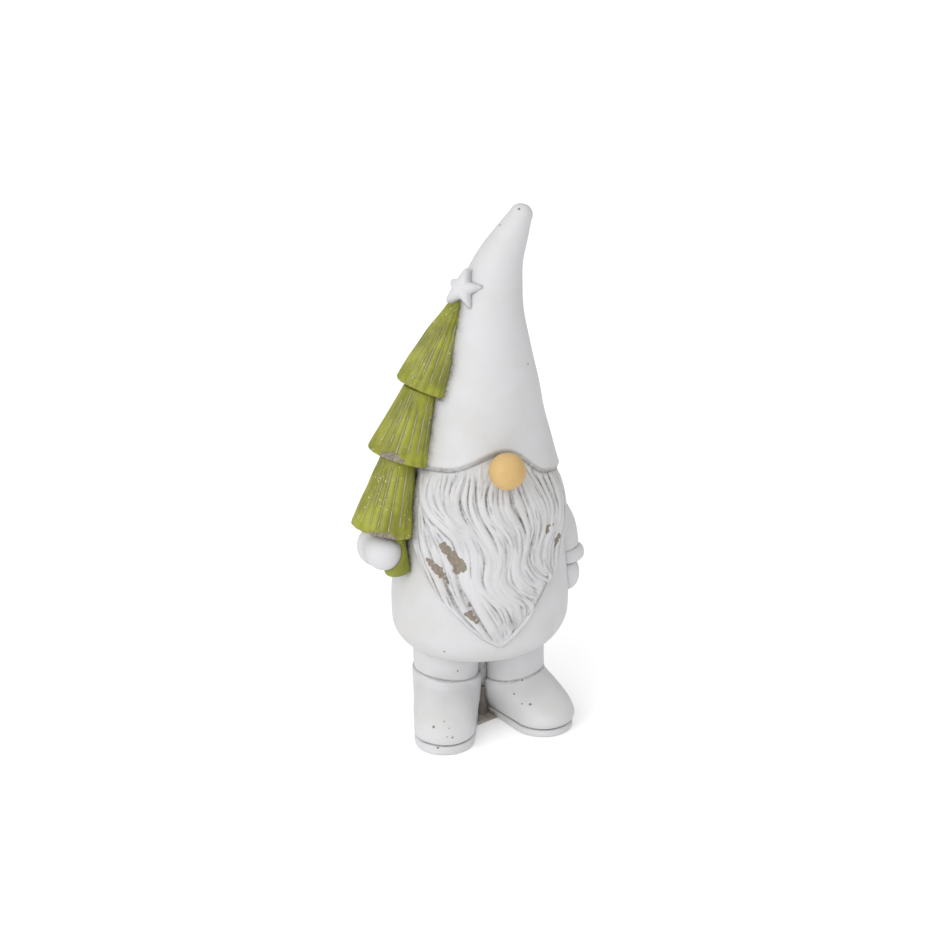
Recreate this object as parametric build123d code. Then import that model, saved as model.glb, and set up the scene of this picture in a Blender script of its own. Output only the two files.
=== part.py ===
from build123d import *
from math import acos, atan2, cos, degrees, radians, sin, tan
import os

# Garden gnome holding a three-tiered tree. Millimetres, +Z up, the figure faces -Y.
# The origin is on the ground, on the axis of the body, between the boots. Heights are given above the
# hem of the coat unless a note says otherwise, and those of the boots and soles above the ground.
# "Right" and "left" are the figure's own, so the right side is at -X.

bond = 0.3            # glue line between two pieces that touch
hole_clearance = 0.2  # radial play round dowels and rods
hem_height = 75.0     # of the coat's hem above the ground

# Coat: height, half width and half depth of each level, hem first
coat_levels = (
    (0.0, 57.0, 49.0),
    (8.0, 71.5, 61.5),
    (24.0, 82.0, 70.0),
    (47.0, 83.5, 71.5),
    (87.0, 81.0, 69.5),
    (117.0, 77.0, 66.5),
    (157.0, 68.5, 59.5),
    (179.0, 63.5, 56.0),
    (191.0, 60.0, 53.0),
    (199.0, 48.0, 42.0),
)
coat_wall = 9.0
coat_floor = 12.0
neck_radius = 32.0    # opening in the top of the coat, which takes the head

# Hat: each level has its height, sideways offset, half width, half depth and sideways tilt. Heights on the
# hat, and so those of the tiers' tops and the star, are percentages of its height, up from the brim's edge.
hat_levels = (
    (-9.0, 0.3, 78.0, 68.0, 0.0),
    (-0.4, 0.4, 72.3, 63.5, 1.0),
    (7.3, 1.0, 66.5, 58.5, 2.0),
    (17.5, 1.8, 59.0, 52.5, 2.0),
    (32.1, 4.2, 50.0, 45.5, 3.0),
    (48.3, 6.7, 39.2, 36.5, 4.0),
    (64.1, 10.0, 29.6, 28.6, 7.0),
    (73.1, 14.0, 25.2, 24.6, 12.5),
    (81.6, 21.0, 19.8, 19.8, 21.0),
    (89.3, 30.6, 14.8, 14.8, 27.5),
)
hat_tip_radius = 10.2
hat_height = 234.0    # from the edge of the brim to the tip
hat_wall = 7.5
hat_hollow_top = 65.0
brim_height = 184.0   # of the brim's edge on the axis of the body, above the hem
brim_roll = 6.5       # the brim drops towards the left hand
brim_pitch = 9.0      # and lifts towards the front
arch_side = 46.0      # half width of the lift over the nose
arch_centre = 4.0
arch_rise = 17.5

# Head: the hidden dome that the hat sits on
head_wall = 8.0
head_top = 260.0
head_spigot = 20.0    # how far it reaches down through the neck of the coat

# Beard: height, half width and half depth of each level of its outer face
beard_levels = (
    (15.0, 86.5, 75.0),
    (55.0, 88.5, 76.5),
    (85.0, 87.5, 75.5),
    (115.0, 84.5, 73.5),
    (142.0, 80.5, 70.0),
    (165.0, 75.5, 65.5),
    (191.0, 67.5, 58.5),
    (215.0, 58.5, 51.0),
)
beard_top = 213.0
beard_top_half_width = 64.0
beard_side = (71.0, 117.0)   # half width at the widest, and its height
beard_bulge = (43.0, 64.0)   # half width of the lower part at mid height, and its height
beard_tip = (-6.5, 27.0)     # sideways place and height of the point

# Nose: a turned ball on a dowel
nose_radius = 16.5
nose_centre = (-0.7, -72.4, 197.5)
dowel_radius = 4.0
dowel_length = 28.0
dowel_depth = 11.0    # how far the dowel goes into the nose

# Legs: each is a gap away from the other, and both stand a little to the right of the body's axis
leg_top_radius = 31.3
leg_foot_radius = 29.0
leg_top_gap = 2.0
leg_foot_gap = 11.2
leg_shift = -1.5
leg_depth = 0.6
leg_socket = 14.0     # how far the leg's blank runs up past the hem before the coat trims it

# Boots: a round shaft at the heel, a gap away from the other, and a round toe that turns outwards
shaft_radius = 31.5
shaft_gap = 2.4
shaft_shift = -0.9
heel_depth = {"right": 0.6, "left": 2.6}
heel_foot_radius = {"right": 28.0, "left": 24.5}   # at the sole, where the heel is narrowest
foot_length = {"right": 47.0, "left": 49.3}        # from the centre of the heel to that of the toe
foot_splay = {"right": 22.0, "left": 19.5}
ankle_rise = {"right": 10.5, "left": 5.0}          # of the boot's mouth above the highest toe level
sole_thickness = 7.0
sole_lip = 1.2        # how far the sole stands out round the boot
toe_foot = (27.0, 2.5)   # radius and setback of the toe on the sole
# Height above the sole, radius and setback of each level of the toe, and the share of the heel's widening
toe_levels = ((13.0, 28.3, 0.0, 0.5), (25.0, 25.5, 5.0, 0.7), (32.0, 23.0, 17.0, 0.85))
toe_mouth_inset = 7.5    # how much smaller than the shaft the toe is at the boot's mouth
toe_mouth_setback = 35.0
leg_rod_radius = 3.0
leg_rod_bottom = 14.0
leg_rod_depth = 8.0   # how far the rods run up into the floor of the coat
web_thickness = 2.5
# Corners in order round the web, as distances inwards and back from the centre of each heel
web_corners = {"right": ((11.9, -29.1), (19.6, 15.4)), "left": ((17.8, 13.4), (7.4, -13.5))}

# Arms: place and radius at each point from the shoulder to the wrist
arm_points = {
    "right": ((-60.0, 14.0, 141.0, 19.0), (-80.0, 28.0, 115.0, 18.0), (-93.0, 11.0, 109.0, 16.5)),
    "left": ((58.0, 0.6, 133.0, 21.0), (72.0, -5.4, 113.0, 19.0), (79.5, -9.4, 85.0, 15.5)),
}
cuff_centre = {"right": (-95.5, 7.1, 109.0), "left": (81.5, -9.9, 83.5)}
cuff_axis = {"right": (-0.34, -0.94, 0.0), "left": (0.12, -0.1, -1.0)}
cuff_radius = {"right": 20.0, "left": 17.5}
cuff_length = 15.0
cuff_round = 5.0
mitten_centre = {"right": (-98.3, -17.4, 113.5), "left": (80.5, -11.4, 66.5)}
mitten_radii = {"right": (15.5, 20.0, 15.5), "left": (13.5, 15.0, 15.5)}
mitten_turn = {"right": -20.0, "left": 0.0}

# Tree: the foot of the bottom tier, in the hand, then the top of each tier, leaning along the hat
tree_foot = (-97.3, -10.4, 131.0)
tier_tops = (
    (-79.7, -6.1, 5.9),
    (-57.6, -3.5, 32.0),
    (-19.6, 1.8, 67.6),
)
tier_names = ("bottom", "middle", "top")
tier_base_radius = (29.7, 29.5, 24.0)
tier_top_radius = (16.0, 15.0, 3.5)
tier_rim_round = 4.0
groove_count = 18
groove_depth = 1.4
groove_start = 9.0    # plain rim below each groove
groove_end = (9.0, 9.0, 30.0)   # plain stretch above it, on each tier
trunk_top = (-92.6, -14.9, 137.0)
trunk_bottom = (-85.2, -17.9, 90.0)
trunk_radius = 12.0
trunk_round = 5.0
tree_rod_radius = 2.5
tree_rod_foot = (-91.5, -13.0, 113.0)
tree_rod_top = (-50.0, -2.5, 39.7)

# Star on the hat at the tip of the tree
star_centre = (-16.5, -12.5, 70.1)
star_normal = (-0.60, -0.72, 0.34)
star_outer_radius = 18.0
star_inner_radius = 9.0
star_points = 5
star_thickness = 16.0
star_turn = 18.0
star_round = 2.0

sides = ("right", "left")
standing = (Align.CENTER, Align.CENTER, Align.MIN)
reach = 400.0         # longer than anything that a cutting block has to pass through


def level_face(height, half_width, half_depth, offset=0.0, tilt=0.0):
    return Pos(offset, 0, height) * Rot(0, tilt, 0) * Ellipse(half_width, half_depth)


def body_form(levels, grow=0.0):
    return loft([level_face(z, width + grow, depth + grow) for z, width, depth in levels])


def main_solid(shape):
    """The piece itself, without the crumbs that trimming against curved neighbours leaves."""
    return shape.solids().sort_by(SortBy.VOLUME)[-1]


def on_hat(x, y, percent):
    """A place whose height is a percentage of the hat's height above the brim."""
    return Vector(x, y, brim_height + percent / 100 * hat_height)


def coat_form(grow=0.0):
    (hem, hem_width, hem_depth), *middle, (top, top_width, top_depth) = coat_levels
    lowest = (hem - grow, hem_width, hem_depth)
    highest = (top + grow, top_width, top_depth)
    return body_form((lowest, *middle, highest), grow)


def hat_cone(levels, grow):
    faces = []
    for percent, offset, half_width, half_depth, tilt in levels:
        height = on_hat(offset, 0, percent).Z
        faces.append(level_face(height, half_width + grow, half_depth + grow, offset, tilt))
    return loft(faces)


def hat_form(grow=0.0):
    percent, offset, *_, tilt = hat_levels[-1]
    tip_percent = 100 * (1 - hat_tip_radius / hat_height)
    tip_offset = offset + (tip_percent - percent) / 100 * hat_height * tan(radians(tilt))
    tip = (tip_percent, tip_offset, hat_tip_radius, hat_tip_radius, tilt)
    ball = Pos(on_hat(tip_offset, 0, tip_percent)) * Sphere(hat_tip_radius + grow)
    return hat_cone((*hat_levels, tip), grow) + ball


def hat_hollow(inset=hat_wall):
    return hat_cone([level for level in hat_levels if level[0] <= hat_hollow_top], -inset)


def brim_blank(grow=0.0):
    """Everything under the brim, with the lift over the nose."""
    below = Pos(0, 0, -reach / 2 - grow) * Box(reach, reach, reach)
    foot = Vector(arch_centre - arch_side, 0)
    crown = Vector(arch_centre, arch_rise - grow)
    end = Vector(arch_centre + arch_side, 0)
    bell = Spline(foot, crown, end, tangents=[(1, 0), (1, 0)])
    outline = make_face(Wire([bell, Line(end, foot)]))
    arch = extrude(Plane.XZ * outline, reach / 2)
    return Pos(0, 0, brim_height) * Rot(-brim_pitch, brim_roll, 0) * (below + arch)


def hat_block(grow=0.0):
    return hat_form(grow) - brim_blank(grow)


def nose_form(grow=0.0):
    return Pos(*nose_centre) * Sphere(nose_radius + grow)


def dowel(grow=0.0):
    x, y, z = nose_centre
    start = y + nose_radius - dowel_depth - grow
    rod = Cylinder(dowel_radius + grow, dowel_length + 2 * grow, align=standing)
    return Pos(x, start, z) * Rot(-90, 0, 0) * rod


def limb(points):
    """Tapered round limb through a list of places and radii."""
    *elbow, elbow_radius = points[1]
    shape = Pos(*elbow) * Sphere(elbow_radius)
    for (*start, start_radius), (*end, end_radius) in zip(points, points[1:]):
        along = Vector(*end) - Vector(*start)
        cone = Cone(start_radius, end_radius, along.length, align=standing)
        shape += Plane(origin=start, z_dir=along) * cone
    return shape


def cuff_form(side, grow=0.0):
    disc = Cylinder(cuff_radius[side] + grow, cuff_length + 2 * grow)
    disc = fillet(disc.edges(), cuff_round)
    return Plane(origin=cuff_centre[side], z_dir=cuff_axis[side]) * disc


def mitten_form(side):
    width, depth, height = mitten_radii[side]
    ball = scale(Sphere(1), by=(width, depth, height))
    return Pos(*mitten_centre[side]) * Rot(0, 0, mitten_turn[side]) * ball


def tier_ends(index):
    ends = [Vector(*tree_foot)] + [on_hat(*place) for place in tier_tops]
    return ends[index], ends[index + 1]


def tier_length(index):
    start, end = tier_ends(index)
    return (end - start).length


def place_tier(index):
    start, end = tier_ends(index)
    return Plane(origin=start, z_dir=end - start)


def tier_form(index, grow=0.0):
    base, top = tier_base_radius[index] + grow, tier_top_radius[index] + grow
    cone = Pos(0, 0, -grow) * Cone(base, top, tier_length(index) + 2 * grow, align=standing)
    rim = cone.edges().filter_by(GeomType.CIRCLE).sort_by(Axis.Z)[0]
    return place_tier(index) * fillet(rim, tier_rim_round)


def tier_grooves(index):
    base, top, length = tier_base_radius[index], tier_top_radius[index], tier_length(index)
    slope = atan2(base - top, length)
    run = length - groove_start - groove_end[index]
    middle = groove_start + run / 2
    radius = base - middle * tan(slope)
    side = groove_depth * 2 ** 0.5
    bar = Rot(0, -degrees(slope), 0) * Rot(0, 0, 45) * Box(side, side, run / cos(slope))
    cutters = []
    for number in range(groove_count):
        cutters.append(Rot(0, 0, number * 360 / groove_count) * Pos(radius, 0, middle) * bar)
    return [place_tier(index) * cutter for cutter in cutters]


def trunk_form(grow=0.0):
    along = Vector(*trunk_top) - Vector(*trunk_bottom)
    post = Pos(0, 0, -grow) * Cylinder(trunk_radius + grow, along.length + 2 * grow, align=standing)
    foot = post.edges().filter_by(GeomType.CIRCLE).sort_by(Axis.Z)[0]
    return Plane(origin=trunk_bottom, z_dir=along) * fillet(foot, trunk_round)


def tree_rod(grow=0.0):
    start = Vector(*tree_rod_foot)
    along = on_hat(*tree_rod_top) - start
    rod = Pos(0, 0, -grow) * Cylinder(tree_rod_radius + grow, along.length + 2 * grow, align=standing)
    return Plane(origin=start, z_dir=along) * rod


def star_form():
    corners = []
    for number in range(2 * star_points):
        radius = star_inner_radius if number % 2 else star_outer_radius
        angle = radians(star_turn + 90 + number * 180 / star_points)
        corners.append((radius * cos(angle), radius * sin(angle)))
    plate = extrude(make_face(Polyline(*corners, close=True)), star_thickness / 2, both=True)
    plate = fillet(plate.edges().filter_by(Axis.Z), star_round)
    return Plane(origin=on_hat(*star_centre), z_dir=star_normal) * plate


def ground(height):
    """A place above the ground, at the height of the hem's own frame."""
    return height - hem_height


def spread(side, radius, gap, shift):
    """Sideways place of one of a pair that stand a gap apart."""
    outwards = radius + gap / 2
    return shift + (outwards if side == "left" else -outwards)


def heel_centre(side):
    return Vector(spread(side, shaft_radius, shaft_gap, shaft_shift), heel_depth[side])


def boot_top(side):
    return sole_thickness + toe_levels[-1][0] + ankle_rise[side]


def foot_outline(side, heel_radius, toe_radius, setback):
    """Outline round the heel circle and the toe circle of one foot."""
    span = foot_length[side] - setback
    turn = foot_splay[side] - 90 if side == "left" else -90 - foot_splay[side]
    lean = acos((heel_radius - toe_radius) / span)
    heel_side = Vector(heel_radius * cos(lean), heel_radius * sin(lean))
    toe_side = Vector(span + toe_radius * cos(lean), toe_radius * sin(lean))
    heel_other = Vector(heel_side.X, -heel_side.Y)
    toe_other = Vector(toe_side.X, -toe_side.Y)
    edges = [
        Line(heel_side, toe_side),
        ThreePointArc(toe_side, (span + toe_radius, 0), toe_other),
        Line(toe_other, heel_other),
        ThreePointArc(heel_other, (-heel_radius, 0), heel_side),
    ]
    return Pos(heel_centre(side)) * Rot(0, 0, turn) * make_face(Wire(edges))


def sole_form(side, grow=0.0):
    lip = sole_lip + grow
    toe_radius, setback = toe_foot
    outline = foot_outline(side, heel_foot_radius[side] + lip, toe_radius + lip, setback)
    return extrude(Pos(0, 0, ground(0)) * outline, sole_thickness)


def boot_form(side):
    narrow = heel_foot_radius[side]
    levels = [(sole_thickness + bond, narrow, *toe_foot)]
    for height, toe_radius, setback, widened in toe_levels:
        heel_radius = narrow + (shaft_radius - narrow) * widened
        levels.append((sole_thickness + height, heel_radius, toe_radius, setback))
    levels.append((boot_top(side), shaft_radius, shaft_radius - toe_mouth_inset, toe_mouth_setback))
    return loft([Pos(0, 0, ground(height)) * foot_outline(side, *radii) for height, *radii in levels])


def web_form():
    """The thin cast web that fills the gap between the two soles."""
    corners = []
    for side, inwards in (("right", 1), ("left", -1)):
        for across, back in web_corners[side]:
            corners.append(heel_centre(side) + Vector(inwards * across, back))
    plate = extrude(make_face(Polyline(*corners, close=True)), web_thickness)
    return Pos(0, 0, ground(0)) * plate - sole_form("right", bond) - sole_form("left", bond)


def leg_blank(side):
    hem = coat_levels[0][0]
    foot_x = spread(side, leg_foot_radius, leg_foot_gap, leg_shift)
    top_x = spread(side, leg_top_radius, leg_top_gap, leg_shift)
    foot = Pos(foot_x, leg_depth, ground(boot_top(side)) + bond) * Circle(leg_foot_radius)
    return loft([foot, Pos(top_x, leg_depth, hem + leg_socket) * Circle(leg_top_radius)])


def leg_rod(side, grow=0.0):
    bottom = ground(leg_rod_bottom) - grow
    top = coat_levels[0][0] + leg_rod_depth + grow
    rod = Cylinder(leg_rod_radius + grow, top - bottom, align=standing)
    return Pos(spread(side, leg_top_radius, leg_top_gap, leg_shift), leg_depth, bottom) * rod


def make_coat():
    hem, top = coat_levels[0][0], coat_levels[-1][0]
    inside = body_form([(z, width - coat_wall, depth - coat_wall) for z, width, depth in coat_levels])
    room = Pos(0, 0, hem + coat_floor) * Box(reach, reach, top - coat_wall - hem - coat_floor, align=standing)
    neck = Pos(0, 0, top - 2 * coat_wall) * Cylinder(neck_radius, reach, align=standing)
    return coat_form() - (inside & room) - neck - dowel(hole_clearance)


def make_head():
    shoulder = coat_levels[-1][0] + bond
    block = Pos(0, 0, shoulder) * Box(reach, reach, head_top - shoulder, align=standing)
    height = head_top - shoulder - 2 * head_wall
    room = Pos(0, 0, shoulder + head_wall) * Box(reach, reach, height, align=standing)
    dome = (hat_hollow(hat_wall + bond) & block) - (hat_hollow(hat_wall + bond + head_wall) & room)
    outer = neck_radius - bond
    spigot = Pos(0, 0, shoulder - head_spigot) * Cylinder(outer, head_spigot + head_wall, align=standing)
    bore = Pos(0, 0, shoulder) * Cylinder(outer - head_wall, 2 * (head_spigot + head_wall))
    return dome + spigot - bore - dowel(hole_clearance)


def make_beard():
    tip = Vector(*beard_tip)
    top = [Vector(side * beard_top_half_width, beard_top) for side in (-1, 1)]
    widest = [Vector(side * beard_side[0], beard_side[1]) for side in (-1, 1)]
    bulge = [Vector(tip.X + side * beard_bulge[0], beard_bulge[1]) for side in (-1, 1)]
    outline = Wire([
        Line(top[1], top[0]),
        Line(top[0], widest[0]),
        ThreePointArc(widest[0], bulge[0], tip),
        ThreePointArc(tip, bulge[1], widest[1]),
        Line(widest[1], top[1]),
    ])
    blank = extrude(Plane.XZ * make_face(outline), reach / 2)
    shape = (body_form(beard_levels) & blank) - coat_form(bond) - hat_block(bond) - hat_hollow()
    return main_solid(shape - nose_form(bond) - dowel(hole_clearance))


def make_parts():
    parts = {}
    coat_cut = coat_form(bond)
    beard_solid = make_beard()
    hat_cut = hat_block(bond)
    tier_cuts = [tier_form(index, bond) for index in range(len(tier_names))]
    trunk_cut = trunk_form(bond)

    parts["coat"] = make_coat()
    parts["hat"] = hat_block() - hat_hollow() - nose_form(bond)
    parts["head"] = make_head()
    parts["beard"] = beard_solid
    parts["nose"] = nose_form() - dowel(hole_clearance)
    parts["nose_dowel"] = dowel()
    for side in sides:
        rod = leg_rod(side, hole_clearance)
        parts["coat"] -= rod
        parts[side + "_leg"] = leg_blank(side) - coat_cut - rod
        parts[side + "_boot"] = boot_form(side) - rod
        parts[side + "_sole"] = sole_form(side)
        parts[side + "_leg_rod"] = leg_rod(side)
    parts["foot_web"] = web_form()

    for side in sides:
        near = [coat_cut, beard_solid]
        if side == "right":
            near += [tier_cuts[0], trunk_cut]
        cuff = cuff_form(side)
        sleeve = limb(arm_points[side]) - cuff_form(side, bond)
        mitten = mitten_form(side) - cuff_form(side, bond)
        for neighbour in near:
            cuff -= neighbour
            sleeve -= neighbour
            mitten -= neighbour
        parts[side + "_cuff"] = cuff
        parts[side + "_sleeve"] = main_solid(sleeve - hat_cut)
        parts[side + "_mitten"] = mitten

    rod = tree_rod(hole_clearance)
    parts["tree_trunk"] = trunk_form() - coat_cut - beard_solid - tier_cuts[0] - rod
    for index, name in enumerate(tier_names):
        tier = tier_form(index)
        for groove in tier_grooves(index):
            tier -= groove
        tier = tier - coat_cut - hat_cut - beard_solid - rod
        if index + 1 < len(tier_names):
            tier -= tier_cuts[index + 1]
        parts["tree_tier_" + name] = main_solid(tier)
    parts["tree_rod"] = tree_rod()
    parts["star"] = star_form() - hat_cut - tier_cuts[-1]
    return parts


def main():
    os.makedirs("parts", exist_ok=True)
    for name, shape in make_parts().items():
        export_step(Pos(0, 0, hem_height) * shape, f"parts/{name}.step")


main()
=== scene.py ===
import math
import bmesh
import bpy
import numpy as np
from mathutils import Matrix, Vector
from mathutils.bvhtree import BVHTree


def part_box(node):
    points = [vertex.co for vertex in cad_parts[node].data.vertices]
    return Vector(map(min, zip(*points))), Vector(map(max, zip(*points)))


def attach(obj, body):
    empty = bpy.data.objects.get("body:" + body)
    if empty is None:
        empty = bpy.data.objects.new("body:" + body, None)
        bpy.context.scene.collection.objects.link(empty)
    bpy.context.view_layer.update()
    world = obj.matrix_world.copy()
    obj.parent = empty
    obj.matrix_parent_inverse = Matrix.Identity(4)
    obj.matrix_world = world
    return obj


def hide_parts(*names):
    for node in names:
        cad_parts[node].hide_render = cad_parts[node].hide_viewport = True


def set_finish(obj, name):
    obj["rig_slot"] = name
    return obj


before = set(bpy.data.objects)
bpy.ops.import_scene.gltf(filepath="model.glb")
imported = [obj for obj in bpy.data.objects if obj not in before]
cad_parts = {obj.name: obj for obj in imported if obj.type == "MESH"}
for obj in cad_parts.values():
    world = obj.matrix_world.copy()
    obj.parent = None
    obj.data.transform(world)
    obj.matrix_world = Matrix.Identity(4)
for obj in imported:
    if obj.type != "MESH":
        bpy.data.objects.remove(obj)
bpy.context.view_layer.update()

# The figure faces -Y and its right hand is at -X. Sizes in the pieces' dictionaries are
# millimetres on the frame's own axes; makePiece turns them into metres.
mm = 0.001
tau = 2 * math.pi
solids = {}     # each piece's surface in millimetres, for the grey wash and painted shade where pieces meet
pieces = {}


def smoothThrough(places, values, at):
    # soft curve through a few given values, as a bent batten gives
    x = np.asarray(places, float)
    y = np.asarray(values, float)
    step = np.diff(x)
    slope = np.diff(y) / step
    inner = (slope[:-1] * step[1:] + slope[1:] * step[:-1]) / (step[1:] + step[:-1])
    tangent = np.concatenate(([slope[0]], inner, [slope[-1]]))
    spot = np.clip(np.searchsorted(x, at) - 1, 0, len(step) - 1)
    gap = step[spot]
    t = (at - x[spot]) / gap
    start = (2 * t**3 - 3 * t**2 + 1) * y[spot] + (t**3 - 2 * t**2 + t) * gap * tangent[spot]
    return start + (3 * t**2 - 2 * t**3) * y[spot + 1] + (t**3 - t**2) * gap * tangent[spot + 1]


def runAlong(steps):
    return np.concatenate(([0], np.cumsum(steps)))


def anglesRound(columns):
    return np.arange(columns) * tau / columns


def curveThrough(points, count):
    # the same in space, evenly divided; extra columns such as a radius come along
    points = np.asarray(points, float)
    run = runAlong(np.linalg.norm(np.diff(points[:, :3], axis=0), axis=1))
    at = np.linspace(0, run[-1], count)
    return np.stack([smoothThrough(run, points[:, k], at) for k in range(points.shape[1])], axis=1)


def softStep(low, high, value):
    t = np.clip((value - low) / (high - low), 0, 1)
    return t * t * (3 - 2 * t)


def lumps(points, size, seed, waves=14):
    # slow hand-made unevenness, about -1 to 1, with features of the given size
    rng = np.random.default_rng(seed)
    total = np.zeros(points.shape[:-1])
    for _ in range(waves):
        way = rng.normal(size=3)
        way *= tau / (size * rng.uniform(0.7, 1.6) * np.linalg.norm(way))
        total += np.sin(points @ way + rng.uniform(0, tau))
    return total / math.sqrt(waves)


def gridFaces(rows, columns, wrap):
    r, c = np.meshgrid(np.arange(rows - 1), np.arange(columns if wrap else columns - 1), indexing="ij")
    nextC = (c + 1) % columns
    here, above = r * columns, (r + 1) * columns
    return np.stack([here + c, here + nextC, above + nextC, above + c], -1).reshape(-1, 4).tolist()


def closedTube(grid):
    # rows of rings, closed at both ends with a fan round a middle point
    rows, columns = grid.shape[:2]
    points = grid.reshape(-1, 3)
    faces = gridFaces(rows, columns, True)
    bottom, top = len(points), len(points) + 1
    last = (rows - 1) * columns
    for c in range(columns):
        faces.append([bottom, (c + 1) % columns, c])
        faces.append([top, last + c, last + (c + 1) % columns])
    points = np.vstack([points, grid[0].mean(0), grid[-1].mean(0)])
    return points, faces


def joined(first, second):
    # two closed forms in one mesh
    points, faces = first
    morePoints, moreFaces = second
    faces = faces + [[len(points) + i for i in face] for face in moreFaces]
    return np.vstack([points, morePoints]), faces


def placed(name, data):
    thing = bpy.data.objects.new(name, data)
    bpy.context.scene.collection.objects.link(thing)
    return thing


def makePiece(name, points, faces, nodes, slot, fields=None):
    mesh = bpy.data.meshes.new(name)
    mesh.from_pydata((np.asarray(points) * mm).tolist(), [], faces)
    mesh.validate()
    form = bmesh.new()
    form.from_mesh(mesh)
    bmesh.ops.recalc_face_normals(form, faces=form.faces)
    form.to_mesh(mesh)
    form.free()
    mesh.polygons.foreach_set("use_smooth", [True] * len(mesh.polygons))
    for field, values in (fields or {}).items():
        layer = mesh.attributes.new(field, "FLOAT", "POINT")
        layer.data.foreach_set("value", np.asarray(values, np.float32))
    mesh.update()
    piece = placed(name, mesh)
    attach(piece, "root")
    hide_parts(*nodes)
    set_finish(piece, slot)
    pieces[name] = piece
    solids[name] = BVHTree.FromPolygons((np.asarray(points)).tolist(), faces)
    return piece


washAndShadeFrom = {
    # how strongly each kind of piece darkens its neighbours where they meet, and over what distance
    "hat_cone": (0.85, 1.7), "beard_locks": (0.45, 1.6), "nose_ball": (1.0, 1.5), "coat_body": (0.5, 1.6),
    "boot_sole": (1.0, 1.0), "boot_upper": (1.0, 1.4), "trouser_leg": (0.9, 1.4), "arm_sleeve": (0.5, 1.4),
    # the wide reaches of foot_web and tree_skirt paint shade: in the gap between the feet, and the tree's
    # shadow on the pieces beside it
    "rolled_cuff": (1.0, 1.5), "hand_mitten": (1.0, 1.5), "foot_web": (1.0, 3.6), "tree_star": (0.95, 1.4),
    "tree_skirt": (1.0, 7.0), "tree_post": (1.0, 5.0),
}


def washAndShadeJoints():
    # a wash-and-shade value on every point, highest where it lies against another piece: dark wash in the
    # joints, and painted shade where the reach is wide
    corners = {}
    for name, piece in pieces.items():
        flat = np.empty(len(piece.data.vertices) * 3, np.float32)
        piece.data.vertices.foreach_get("co", flat)
        corners[name] = flat.reshape(-1, 3) / mm
    for name, points in corners.items():
        washAndShade = np.zeros(len(points))
        for other, places in corners.items():
            kind = next(key for key in washAndShadeFrom if key in other)
            if other == name:
                continue
            strength, falloff = washAndShadeFrom[kind]
            reach = falloff * 4
            low, high = places.min(0) - reach, places.max(0) + reach
            near = np.flatnonzero(((points > low) & (points < high)).all(1))
            for index in near:
                found = solids[other].find_nearest(Vector(points[index]), reach)
                if found[3] is not None:
                    washAndShade[index] = max(washAndShade[index], strength * math.exp(-found[3] / falloff))
        layer = pieces[name].data.attributes.new("washAndShade", "FLOAT", "POINT")
        layer.data.foreach_set("value", washAndShade.astype(np.float32))


def outwards(grid):
    # level directions away from the body's axis
    flat = grid * (1, 1, 0)
    return flat / np.maximum(np.linalg.norm(flat, axis=-1, keepdims=True), 1)


def unit(vector):
    vector = np.asarray(vector, float)
    return vector / np.linalg.norm(vector)


def sideways(axis):
    # two directions square to an axis
    axis = unit(axis)
    helper = np.array([0.0, 0.0, 1.0]) if abs(axis[2]) < 0.8 else np.array([0.0, 1.0, 0.0])
    first = unit(np.cross(helper, axis))
    return first, np.cross(axis, first)


def turned(centre, axis, profile, columns):
    # rings about an axis; the profile is (radius, height along the axis)
    first, second = sideways(axis)
    angle = anglesRound(columns)
    ring = np.cos(angle)[:, None] * first + np.sin(angle)[:, None] * second
    profile = np.asarray(profile, float)
    return (np.asarray(centre, float) + profile[:, None, :1] * ring[None]
            + profile[:, None, 1:] * unit(axis)[None, None])


def roundedBar(radius, half, corner, steps=8):
    # profile of a drum with rounded edges, bottom to top
    turn = np.linspace(0, math.pi / 2, steps)
    lower = [(radius - corner + corner * math.sin(t), -half + corner - corner * math.cos(t)) for t in turn]
    upper = [(radius - corner + corner * math.cos(t), half - corner + corner * math.sin(t)) for t in turn]
    return lower + upper


def densified(profile, spacing):
    profile = np.asarray(profile, float)
    run = runAlong(np.linalg.norm(np.diff(profile, axis=0), axis=1))
    at = np.linspace(0, run[-1], max(3, int(run[-1] / spacing)))
    return np.stack([np.interp(at, run, profile[:, k]) for k in range(profile.shape[1])], axis=1)


coatShape = {
    # height, half width, half depth of each level
    "levels": ((78.6, 40, 34), (79.2, 57, 49), (82, 66, 57), (87.5, 73, 62.8), (101, 81.6, 69.8),
               (122, 83.5, 71.5), (162, 81, 69.5), (192, 77, 66.5), (232, 68.5, 59.5),
               (254, 63.5, 56), (266, 59, 52), (274, 48, 42)),
    "columns": 360, "rows": 210,
    "unevenness": 0.35,
}


def levelGrid(levels, rows, columns):
    levels = np.asarray(levels, float)
    run = runAlong(np.hypot(np.diff(levels[:, 0]), np.diff(levels[:, 1])))
    at = np.linspace(0, run[-1], rows)
    z, width, depth = (smoothThrough(run, levels[:, k], at)[:, None] for k in range(3))
    angle = anglesRound(columns)
    return np.stack([width * np.sin(angle), -depth * np.cos(angle), z + 0 * angle], -1)


def makeCoat():
    s = coatShape
    grid = levelGrid(s["levels"], s["rows"], s["columns"])
    grid = grid + outwards(grid) * (lumps(grid, 55, 3) * s["unevenness"])[..., None]
    points, faces = closedTube(grid)
    return makePiece("coat_body", points, faces, ["coat"], "white_paint")


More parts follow.
